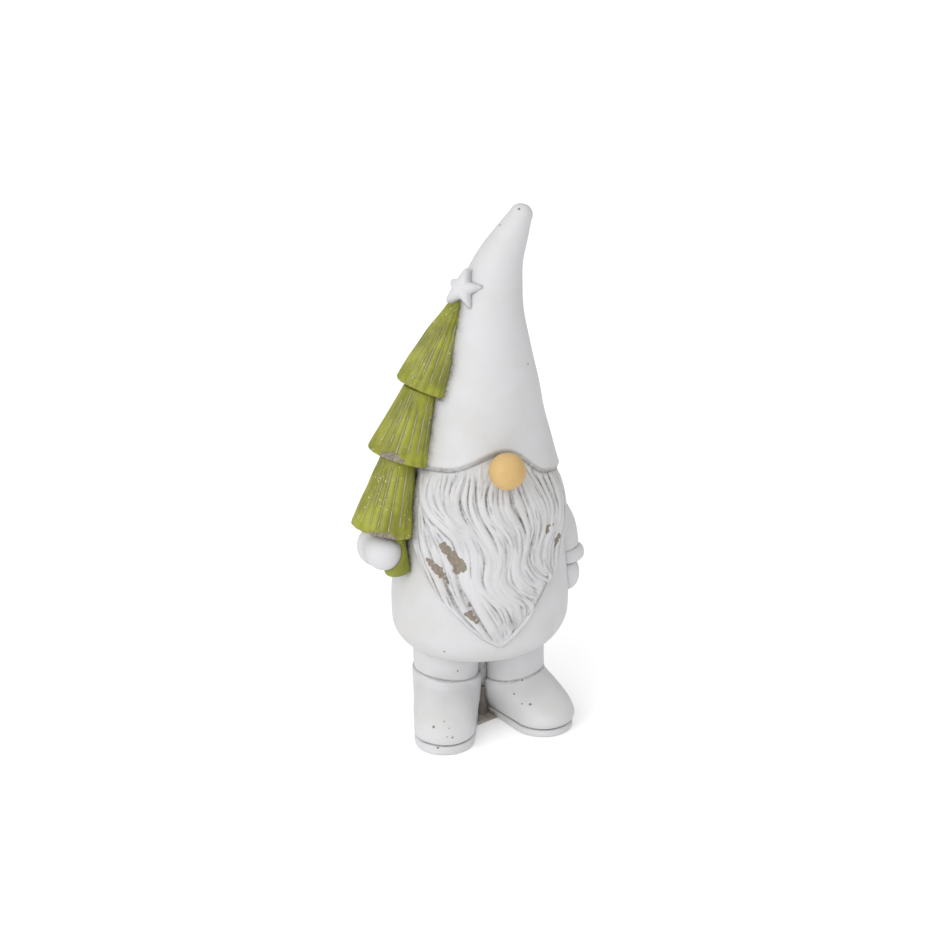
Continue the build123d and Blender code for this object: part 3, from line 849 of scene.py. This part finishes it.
treeShape = {
    "places": ((-97.3, -10.4, 206), (-79.7, -6.1, 272.7), (-57.6, -3.5, 333.9), (-17.2, 0.8, 417.3)),
    "names": ("bottom", "middle", "top"),
    "baseRadius": (29.7, 29.5, 24), "topRadius": (16, 15, 4.8),
    "rimRound": 3.4, "reachUp": (1, 1, 0.95), "bow": (0, 0, 2.4),
    "grooves": 18, "grooveColumns": 18, "grooveDepth": 1.1, "grooveWidth": 0.75, "grooveStray": 0.16,
    "panelSwell": 0.75,
    # rough bare patches on the rims: place across the front, height above the rim, half sizes
    "patches": ((2.5, 0.8, 13.5, 3.4), (-5.5, 2.6, 10.5, 4.4), (0, 0, 0, 0)),
    "frontWay": (-0.342, -0.94, 0), "rightWay": (0.94, -0.342, 0),
    "grooveStart": 9, "grooveEnd": (9, 9, 30),
    "trunkTop": (-92.6, -14.9, 212), "trunkBottom": (-85.2, -17.9, 165), "trunkRadius": 12, "trunkRound": 5,
    "seed": 21,
}


def makeTier(index):
    s = treeShape
    rng = np.random.default_rng(s["seed"] + index)
    base, top = np.array(s["places"][index]), np.array(s["places"][index + 1])
    length = np.linalg.norm(top - base) * s["reachUp"][index]
    wide, narrow, corner = s["baseRadius"][index], s["topRadius"][index], s["rimRound"]
    profile = [(wide - corner - 6, 1.5), (wide - corner, 0)]
    profile += [(wide - corner + corner * math.sin(t), corner - corner * math.cos(t))
                for t in np.radians((20, 40, 60, 80))]
    profile += [(narrow, length - 1), (narrow - 1, length)]
    profile = densified(profile, 0.75)
    profile[:, 0] += s["bow"][index] * np.sin(math.pi * np.clip(profile[:, 1] / length, 0, 1))
    columns = s["grooveColumns"] * s["grooves"]
    grid = turned(base, top - base, profile, columns)
    angle = anglesRound(columns)
    height = profile[:, 1][:, None]
    radius = profile[:, 0][:, None]
    step = tau / s["grooves"]
    cut, side = np.zeros((len(profile), columns)), np.zeros((len(profile), columns))
    rim = np.zeros(columns)
    for number in range(s["grooves"]):
        wander = lumps(np.column_stack([height[:, 0], height[:, 0] * 0, height[:, 0] * 0]), 60, 70 + number)
        middle = (number + rng.uniform(-s["grooveStray"], s["grooveStray"]) + 0.05 * wander) * step
        start = s["grooveStart"] + rng.uniform(-3, 4)
        end = length - s["grooveEnd"][index] + rng.uniform(-5, 9)
        away = ((angle[None] - middle[:, None] + math.pi) % tau - math.pi) * radius
        line = softStep(start - 1.5, start + 1.5, height) * (1 - softStep(end - 4, end + 4, height))
        cut = np.maximum(cut, np.exp(-(away / s["grooveWidth"]) ** 2) * line)
        side = np.maximum(side, np.exp(-((away - 1.1) / 0.8) ** 2) * line)
        rim = np.maximum(rim, np.exp(-(away[0] / 2.2) ** 2))
    swell = np.cos((angle - 0.5 * step) * s["grooves"])[None] * -0.5 + 0.5
    scallop = softStep(0.5, 4, height) * (1 - softStep(length * 0.6, length, height))
    inward = cut * s["grooveDepth"] + swell * s["panelSwell"] * scallop
    inward += rim[None] * 0.7 * (1 - softStep(2, 9, height))
    # rough bare patch on the front of the rim
    axis = unit(top - base)
    centre = base + profile[:, 1][:, None, None] * axis
    across, up, halfAcross, halfUp = s["patches"][index]
    patch = np.zeros(cut.shape)
    if halfAcross:
        spread = (grid - centre) @ np.array(s["rightWay"]) - across
        facing = (grid - centre) @ np.array(s["frontWay"]) > 0
        reach = 1 - np.hypot(spread / halfAcross, (height - up) / halfUp)
        reach = reach + 0.28 * lumps(grid, 6, 81 + index) + 0.16 * lumps(grid, 2.2, 83 + index)
        patch = softStep(-0.05, 0.2, reach) * facing
        inward += patch * (0.8 + 0.5 * lumps(grid, 2.6, 85) + 0.3 * lumps(grid, 1.4, 86))
    inward += 0.22 * lumps(grid, 26, 87 + index)
    grid = grid - (grid - centre) / np.maximum(radius[..., None], 1) * inward[..., None]
    fields = {"groove": cut, "grooveSide": side, "chip": patch}
    fields = {name: np.append(field.ravel(), (0, 0)) for name, field in fields.items()}
    name = s["names"][index]
    return makePiece("tree_skirt_" + name, *closedTube(grid), ["tree_tier_" + name], "green_paint", fields)


def makeTrunk():
    s = treeShape
    bottom, top = np.array(s["trunkBottom"], float), np.array(s["trunkTop"], float)
    length = np.linalg.norm(top - bottom)
    corner, radius = s["trunkRound"], s["trunkRadius"]
    profile = [(radius - corner + corner * math.sin(t), corner - corner * math.cos(t))
               for t in np.radians(np.linspace(0, 90, 8))] + [(radius, length)]
    points, faces = closedTube(turned(bottom, top - bottom, densified(profile, 0.7), 140))
    return makePiece("tree_post", points, faces, ["tree_trunk"], "green_paint")


starShape = {
    "normal": (-0.60, -0.72, 0.34), "centre": (-19.2, -9.4, 423.6), "outer": 20.5, "inner": 8.8,
    "points": 5, "columns": 260, "rows": 60, "softening": 7,
    "turn": -8, "thickness": 14, "puff": 0.55,
    "wrapWay": 155, "wrapFrom": 1.0, "wrapRadius": 8.0,     # the arm that folds over the tip of the tree
}


def makeStar():
    s = starShape
    normal = unit(s["normal"])
    first = unit(np.cross((0, 0, 1), normal))
    second = np.cross(normal, first)
    angle = anglesRound(s["columns"])
    corner = tau / s["points"]
    half = corner / 2
    away = np.abs((angle - math.radians(s["turn"] + 90) + half) % corner - half)
    # straight sides between the points and the inner corners, then a little rounding
    ax, bx, by = s["outer"], s["inner"] * math.cos(half), s["inner"] * math.sin(half)
    radius = ax * by / (by * np.cos(away) + (ax - bx) * np.sin(away))
    for _ in range(s["softening"]):
        radius = (np.roll(radius, 1) + radius + np.roll(radius, -1)) / 3
    way = math.radians(s["wrapWay"])
    rows = []
    for t in np.radians(np.linspace(-60, 88, s["rows"])):
        ring = radius * max(math.cos(t), 0.0) ** s["puff"] if t > 0 else radius
        height = s["thickness"] / 2 * (math.sin(t) if t > 0 else t)
        along, across = ring * np.cos(angle - way), ring * np.sin(angle - way)
        spare = np.clip(along - s["wrapFrom"], 0, None)
        bend = np.clip(spare / s["wrapRadius"], 0, 1.5)
        bent = np.where(along > s["wrapFrom"], s["wrapFrom"] + (s["wrapRadius"] + height) * np.sin(bend),
                        along)
        drop = s["wrapRadius"] * (1 - np.cos(bend)) + np.clip(spare - 1.5 * s["wrapRadius"], 0, None)
        raised = height * np.cos(bend) - drop - along.clip(None, 0) ** 2 / 90
        u = bent * math.cos(way) - across * math.sin(way)
        v = bent * math.sin(way) + across * math.cos(way)
        flat = u[:, None] * first + v[:, None] * second
        rows.append(np.array(s["centre"]) + flat + raised[:, None] * normal)
    points, faces = closedTube(np.array(rows))
    return makePiece("tree_star", points, faces, ["star"], "white_paint")


def newFinish(name):
    material = bpy.data.materials.new(name)
    material.use_nodes = True
    return material, material.node_tree


def add(tree, kind, values=None, **settings):
    node = tree.nodes.new(kind)
    for key, value in settings.items():
        setattr(node, key, value)
    for key, value in (values or {}).items():
        if isinstance(value, bpy.types.NodeSocket):
            tree.links.new(value, node.inputs[key])
        else:
            node.inputs[key].default_value = value
    return node


def blendColour(tree, share, first, second, mode="MIX"):
    node = tree.nodes.new("ShaderNodeMix")
    node.data_type = "RGBA"
    node.blend_type = mode
    for key, value in ((0, share), (6, first), (7, second)):
        if isinstance(value, bpy.types.NodeSocket):
            tree.links.new(value, node.inputs[key])
        else:
            node.inputs[key].default_value = value
    return node.outputs[2]


def remap(tree, value, low, high, toLow=0.0, toHigh=1.0):
    ends = {"Value": value, "From Min": low, "From Max": high, "To Min": toLow, "To Max": toHigh}
    return add(tree, "ShaderNodeMapRange", ends, interpolation_type="SMOOTHSTEP").outputs["Result"]


def ownPlace(tree):
    return add(tree, "ShaderNodeTexCoord").outputs["Object"]


def noiseAt(tree, scale, detail=4.0, rough=0.55):
    values = {"Vector": ownPlace(tree), "Scale": scale, "Detail": detail, "Roughness": rough}
    return add(tree, "ShaderNodeTexNoise", values).outputs[0]


def calc(tree, operation, first, second=0.5):
    node = tree.nodes.new("ShaderNodeMath")
    node.operation = operation
    for key, value in ((0, first), (1, second)):
        if isinstance(value, bpy.types.NodeSocket):
            tree.links.new(value, node.inputs[key])
        else:
            node.inputs[key].default_value = value
    return node.outputs[0]


paintColours = {
    # washAndShade is the wash's brown-grey, also used to paint shade
    "white": (0.585, 0.585, 0.60, 1), "creamier": (0.55, 0.545, 0.54, 1), "stain": (0.42, 0.40, 0.375, 1),
    "washAndShade": (0.105, 0.088, 0.074, 1), "pit": (0.07, 0.058, 0.05, 1), "paintEdge": (0.64, 0.62, 0.58, 1),
    "green": (0.285, 0.30, 0.024, 1), "oliveGreen": (0.18, 0.19, 0.012, 1),
    "greenShade": (0.055, 0.045, 0.025, 1), "grooveLine": (0.40, 0.37, 0.26, 1),
    "grooveDark": (0.11, 0.105, 0.02, 1), "speckle": (0.52, 0.50, 0.27, 1),
    "clay": (0.185, 0.15, 0.115, 1), "clayLight": (0.29, 0.25, 0.20, 1),
    "nose": (0.585, 0.395, 0.158, 1), "noseDark": (0.50, 0.315, 0.11, 1),
    "wood": (0.55, 0.38, 0.20, 1), "woodGrain": (0.42, 0.27, 0.13, 1),
    "steel": (0.45, 0.45, 0.46, 1), "rust": (0.22, 0.15, 0.10, 1),
}


def fieldOf(tree, name):
    return add(tree, "ShaderNodeAttribute", attribute_name=name).outputs["Fac"]


def surfaced(material, colour, roughness, layers):
    # colour, gloss and several sizes of grain: scale, strength, depth in metres
    tree = material.node_tree
    shader = tree.nodes["Principled BSDF"]
    tree.links.new(colour, shader.inputs["Base Color"])
    shader.inputs["Roughness"].default_value = roughness
    before = None
    for scale, strength, depth in layers:
        grain = noiseAt(tree, scale, 4.0, 0.62)
        bump = add(tree, "ShaderNodeBump", {"Height": grain, "Strength": strength, "Distance": depth})
        if before:
            tree.links.new(before, bump.inputs["Normal"])
        before = bump.outputs[0]
    tree.links.new(before, shader.inputs["Normal"])
    return material


# air holes of the casting: place and half width of each, in millimetres
airHoles = (
    (34, -6.5, 489.9, 1.1), (18.4, -1.1, 475.6, 0.8), (34.5, -30.2, 354.8, 0.8), (-52.8, -50.5, 96, 1.0),
    (-32.7, -30.4, 63.8, 0.8), (-67.8, -62.7, 28, 1.2), (-57.9, -63.9, 32.3, 0.6), (-53.4, -73.7, 20, 0.9),
    (-58.2, -72.6, 20.8, 0.6), (-55.2, -69.4, 27.5, 0.5), (-65.3, -66.8, 8.1, 1.1),
    (21.1, -36.2, 33.4, 0.9), (30.4, -53.7, 29.4, 1.3), (24.1, -48.7, 28.6, 0.8), (31.7, -29.3, 42.8, 0.9),
    (38, 33, 300, 1.0),
)


def pitMask(tree):
    where = ownPlace(tree)
    nearest = None
    for x, y, z, size in airHoles:
        place = (x * mm, y * mm, z * mm)
        away = add(tree, "ShaderNodeVectorMath", {0: where, 1: place}, operation="DISTANCE")
        edge = calc(tree, "SUBTRACT", away.outputs["Value"], size * mm)
        nearest = calc(tree, "MINIMUM", nearest, edge) if nearest else edge
    uneven = calc(tree, "MULTIPLY", noiseAt(tree, 800, 3.0), 0.0012)
    return remap(tree, calc(tree, "ADD", nearest, uneven), 0.0010, 0.0003)


def paintedWhite(tree, grey):
    # off-white paint, with a brown-grey wash and painted shade where grey is high, small pits and faint
    # stains
    c = paintColours
    cloud = noiseAt(tree, 22, 4.0)
    base = blendColour(tree, remap(tree, cloud, 0.36, 0.68), c["white"], c["creamier"])
    stain = noiseAt(tree, 75, 6.0, 0.7)
    base = blendColour(tree, remap(tree, stain, 0.60, 0.80, 0.0, 0.32), base, c["stain"])
    ragged = noiseAt(tree, 330, 5.0, 0.68)
    share = calc(tree, "MULTIPLY", grey, remap(tree, ragged, 0.25, 0.72, 0.4, 1.0))
    colour = blendColour(tree, share, base, c["washAndShade"])
    return blendColour(tree, calc(tree, "MULTIPLY", pitMask(tree), 0.8), colour, c["pit"])


def makeWhitePaint():
    material, tree = newFinish("white_paint_cast")
    patchy = noiseAt(tree, 60, 4.0)
    jointWashAndShade = calc(tree, "MULTIPLY", remap(tree, fieldOf(tree, "washAndShade"), 0.22, 0.95),
                 remap(tree, patchy, 0.30, 0.62, 0.35, 1.0))
    # the shade field is painted shade: under the hat's brim and on the wall between the feet
    shade = calc(tree, "MULTIPLY", fieldOf(tree, "shade"), remap(tree, patchy, 0.25, 0.7, 0.5, 0.95))
    colour = paintedWhite(tree, calc(tree, "MAXIMUM", jointWashAndShade, shade))
    return surfaced(material, colour, 0.62, ((30, 0.25, 0.0012), (160, 0.22, 0.0006), (900, 0.16, 0.0003)))


def makeBeardWash():
    material, tree = newFinish("white_wash_on_hair")
    c = paintColours
    patchy = noiseAt(tree, 46, 3.0)
    hollow = calc(tree, "MULTIPLY", remap(tree, fieldOf(tree, "crease"), 0.05, 0.7),
                  remap(tree, patchy, 0.30, 0.58, 0.3, 1.0))
    line = calc(tree, "MULTIPLY", fieldOf(tree, "scratch"), remap(tree, patchy, 0.28, 0.55, 0.6, 1.0))
    grey = calc(tree, "MAXIMUM", hollow, line)
    # joint wash, with painted shade where the tree is near
    grey = calc(tree, "MAXIMUM", grey, remap(tree, fieldOf(tree, "washAndShade"), 0.1, 0.9))
    haze = remap(tree, noiseAt(tree, 34, 5.0, 0.6), 0.45, 0.72, 0.0, 0.22)
    colour = paintedWhite(tree, calc(tree, "MAXIMUM", grey, haze))
    # bare clay where the paint is gone
    grit = noiseAt(tree, 420, 6.0, 0.7)
    clay = blendColour(tree, remap(tree, grit, 0.3, 0.7), c["clay"], c["clayLight"])
    chip = fieldOf(tree, "chip")
    colour = blendColour(tree, remap(tree, chip, 0.08, 0.4, 0.0, 0.55), colour, c["paintEdge"])
    colour = blendColour(tree, remap(tree, chip, 0.42, 0.6), colour, clay)
    return surfaced(material, colour, 0.66, ((210, 0.25, 0.0006), (800, 0.2, 0.0004)))


def makeGreenPaint():
    material, tree = newFinish("green_paint_glazed")
    c = paintColours
    cloud = noiseAt(tree, 38, 5.0)
    base = blendColour(tree, remap(tree, cloud, 0.38, 0.66), c["green"], c["oliveGreen"])
    broken = noiseAt(tree, 130, 5.0, 0.65)
    side = calc(tree, "MULTIPLY", fieldOf(tree, "grooveSide"), remap(tree, broken, 0.35, 0.6, 0.25, 0.8))
    base = blendColour(tree, side, base, c["grooveDark"])
    line = calc(tree, "MULTIPLY", remap(tree, fieldOf(tree, "groove"), 0.35, 0.85),
                remap(tree, broken, 0.38, 0.56, 0.25, 1.0))
    base = blendColour(tree, line, base, c["grooveLine"])
    # pale flecks left in the paint
    where = ownPlace(tree)
    cells = add(tree, "ShaderNodeTexVoronoi", {"Vector": where, "Scale": 430.0})
    values = {"Vector": cells.outputs["Position"]}
    pick = add(tree, "ShaderNodeTexWhiteNoise", values, noise_dimensions="3D").outputs["Value"]
    size = remap(tree, pick, 0.62, 1.0, 0.0, 0.34)
    region = remap(tree, noiseAt(tree, 26, 3.0), 0.45, 0.62)
    fleck = remap(tree, calc(tree, "SUBTRACT", cells.outputs["Distance"], size), 0.05, -0.03)
    base = blendColour(tree, calc(tree, "MULTIPLY", fleck, region), base, c["speckle"])
    # dark wash in the joints, with painted shade under the tier above, and a little pale clay in it
    ragged = noiseAt(tree, 300, 5.0, 0.68)
    jointWashAndShade = calc(tree, "MULTIPLY", remap(tree, fieldOf(tree, "washAndShade"), 0.5, 0.92),
                 remap(tree, ragged, 0.3, 0.6, 0.5, 1.0))
    colour = blendColour(tree, jointWashAndShade, base, c["greenShade"])
    crumbs = calc(tree, "MULTIPLY", remap(tree, fieldOf(tree, "washAndShade"), 0.62, 0.85),
                  remap(tree, ragged, 0.52, 0.62))
    colour = blendColour(tree, calc(tree, "MULTIPLY", crumbs, 0.7), colour, c["clayLight"])
    grit = noiseAt(tree, 420, 6.0, 0.7)
    clay = blendColour(tree, remap(tree, grit, 0.32, 0.66), c["clay"], c["clayLight"])
    colour = blendColour(tree, remap(tree, fieldOf(tree, "chip"), 0.35, 0.6), colour, clay)
    return surfaced(material, colour, 0.46, ((120, 0.22, 0.0007), (700, 0.2, 0.0004)))


def makeNosePaint():
    material, tree = newFinish("nose_tan")
    c = paintColours
    # fine brush arcs round the ball
    where = ownPlace(tree)
    values = {"Vector": where, "Scale": 150.0, "Distortion": 5.0, "Detail": 3.0, "Detail Scale": 2.0}
    arcs = add(tree, "ShaderNodeTexWave", values, bands_direction="Z").outputs["Fac"]
    cloud = noiseAt(tree, 60, 4.0)
    share = calc(tree, "ADD", calc(tree, "MULTIPLY", arcs, 0.16), remap(tree, cloud, 0.35, 0.7, 0.0, 0.5))
    base = blendColour(tree, share, c["nose"], c["noseDark"])
    colour = blendColour(tree, remap(tree, fieldOf(tree, "washAndShade"), 0.35, 1.0, 0.0, 0.85), base, c["washAndShade"])
    return surfaced(material, colour, 0.55, ((240, 0.2, 0.0005), (900, 0.15, 0.0003)))


def makeBareClay():
    material, tree = newFinish("bare_clay")
    cloud = noiseAt(tree, 120, 6.0)
    c = paintColours
    colour = blendColour(tree, remap(tree, cloud, 0.3, 0.7), c["clay"], c["clayLight"])
    return surfaced(material, colour, 0.85, ((180, 0.4, 0.0008), (700, 0.35, 0.0005)))


def makeStainedShadedCasting():
    # thin paint over clay with a brown stain; painted shade darkens the wall between the feet
    material, tree = newFinish("stained_casting")
    c = paintColours
    cloud = noiseAt(tree, 150, 6.0, 0.65)
    thin = blendColour(tree, remap(tree, cloud, 0.35, 0.65), c["stain"], c["clayLight"])
    dark = calc(tree, "MAXIMUM", remap(tree, fieldOf(tree, "shade"), 0.6, 1.0, 0.0, 0.7),
                calc(tree, "MULTIPLY", fieldOf(tree, "washAndShade"), 0.7))
    colour = blendColour(tree, dark, thin, c["washAndShade"])
    return surfaced(material, colour, 0.75, ((220, 0.35, 0.0008), (800, 0.3, 0.0004)))


def makeDowelWood():
    material, tree = newFinish("birch_dowel")
    where = ownPlace(tree)
    values = {"Vector": where, "Scale": 260.0, "Distortion": 6.0, "Detail": 4.0}
    grain = add(tree, "ShaderNodeTexWave", values, bands_direction="X").outputs["Fac"]
    colour = blendColour(tree, grain, paintColours["wood"], paintColours["woodGrain"])
    return surfaced(material, colour, 0.6, ((300, 0.2, 0.0003),))


def makeRodSteel():
    material, tree = newFinish("plain_steel_rod")
    spots = noiseAt(tree, 240, 6.0, 0.7)
    colour = blendColour(tree, remap(tree, spots, 0.45, 0.7), paintColours["steel"], paintColours["rust"])
    shader = tree.nodes["Principled BSDF"]
    tree.links.new(remap(tree, spots, 0.4, 0.7, 0.35, 0.75), shader.inputs["Roughness"])
    shader.inputs["Metallic"].default_value = 0.9
    return surfaced(material, colour, 0.5, ((500, 0.2, 0.0002),))


stage = {
    "aim": (0, 0, 0.2418), "azimuth": -20.0, "elevation": 21.0, "distance": 1.9228, "lens": 80.58,
    "shift": (-0.0105, 0.0066),
    "sky": 0.54, "floorTone": 0.97, "floorGlow": 0.14, "floorReach": 6.0,
    "key": 10.5, "keyPlace": (-1.3, -1.1, 1.1), "keyAim": (0, 0, 0.25), "keySize": 1.3,
    "ceiling": 1.5, "ceilingPlace": (-0.6, -0.5, 1.6), "ceilingSpread": 100,
}


def aimed(thing, place, aim):
    thing.location = place
    thing.rotation_euler = (Vector(aim) - Vector(place)).to_track_quat("-Z", "Y").to_euler()


def setCamera():
    s = stage
    a, e = math.radians(s["azimuth"]), math.radians(s["elevation"])
    back = Vector((math.sin(a) * math.cos(e), -math.cos(a) * math.cos(e), math.sin(e)))
    data = bpy.data.cameras.new("camera")
    data.lens, data.sensor_width = s["lens"], 36
    data.shift_x, data.shift_y = s["shift"]
    camera = placed("camera", data)
    camera.location = Vector(s["aim"]) + back * s["distance"]
    camera.rotation_euler = (-back).to_track_quat("-Z", "Y").to_euler()
    bpy.context.scene.camera = camera


def setFloor():
    mesh = bpy.data.meshes.new("floor")
    reach = stage["floorReach"]
    mesh.from_pydata([(-reach, -reach, 0), (reach, -reach, 0), (reach, reach, 0), (-reach, reach, 0)], [],
                     [(0, 1, 2, 3)])
    material, tree = newFinish("studio_floor")
    shader = tree.nodes["Principled BSDF"]
    tone = stage["floorTone"]
    shader.inputs["Base Color"].default_value = (tone, tone, tone, 1)
    shader.inputs["Roughness"].default_value = 0.9
    shader.inputs["Emission Color"].default_value = (1, 1, 1, 1)
    shader.inputs["Emission Strength"].default_value = stage["floorGlow"]
    mesh.materials.append(material)
    placed("floor", mesh)


def setLights():
    world = bpy.data.worlds.new("studio")
    world.use_nodes = True
    world.node_tree.nodes["Background"].inputs[0].default_value = (1, 1, 1, 1)
    world.node_tree.nodes["Background"].inputs[1].default_value = stage["sky"]
    bpy.context.scene.world = world
    data = bpy.data.lights.new("key_light", "AREA")
    data.size, data.energy = stage["keySize"], stage["key"]
    aimed(placed("key_light", data), stage["keyPlace"], stage["keyAim"])
    data = bpy.data.lights.new("ceiling_light", "SUN")
    data.energy, data.angle = stage["ceiling"], math.radians(stage["ceilingSpread"])
    aimed(placed("ceiling_light", data), stage["ceilingPlace"], (0, 0, 0))
    bpy.context.scene.view_settings.view_transform = "Standard"


print("stage and camera")
setCamera()
setFloor()
setLights()
print("white pieces")
makeCoat()
makeHat()
makeBeard()
makeNose()
for side in ("right", "left"):
    makeSole(side)
    makeBoot(side)
    makeLeg(side)
    makeSleeve(side)
    makeCuff(side)
    makeMitten(side)
makeWeb()
print("tree")
for index in range(3):
    makeTier(index)
makeTrunk()
makeStar()
# dark wash in the joints, with painted shade and the tree's painted shadow on its neighbours
print("wash where pieces meet")
washAndShadeJoints()
print("finishes")
finishes = {
    "white_paint": makeWhitePaint(), "washed_white": makeBeardWash(), "green_paint": makeGreenPaint(),
    "nose_ball": makeNosePaint(), "bare_casting": makeBareClay(), "stained_casting": makeStainedShadedCasting(),
    "dowel_wood": makeDowelWood(), "steel_rod": makeRodSteel(),
}
for piece in pieces.values():
    piece.data.materials.append(finishes[piece["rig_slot"]])
# what is hidden inside the casting
innerFinish = {
    "nose_dowel": "dowel_wood", "tree_rod": "steel_rod", "right_leg_rod": "steel_rod",
    "left_leg_rod": "steel_rod",
}
for name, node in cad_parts.items():
    node.data.materials.clear()
    node.data.materials.append(finishes[innerFinish.get(name, "bare_casting")])
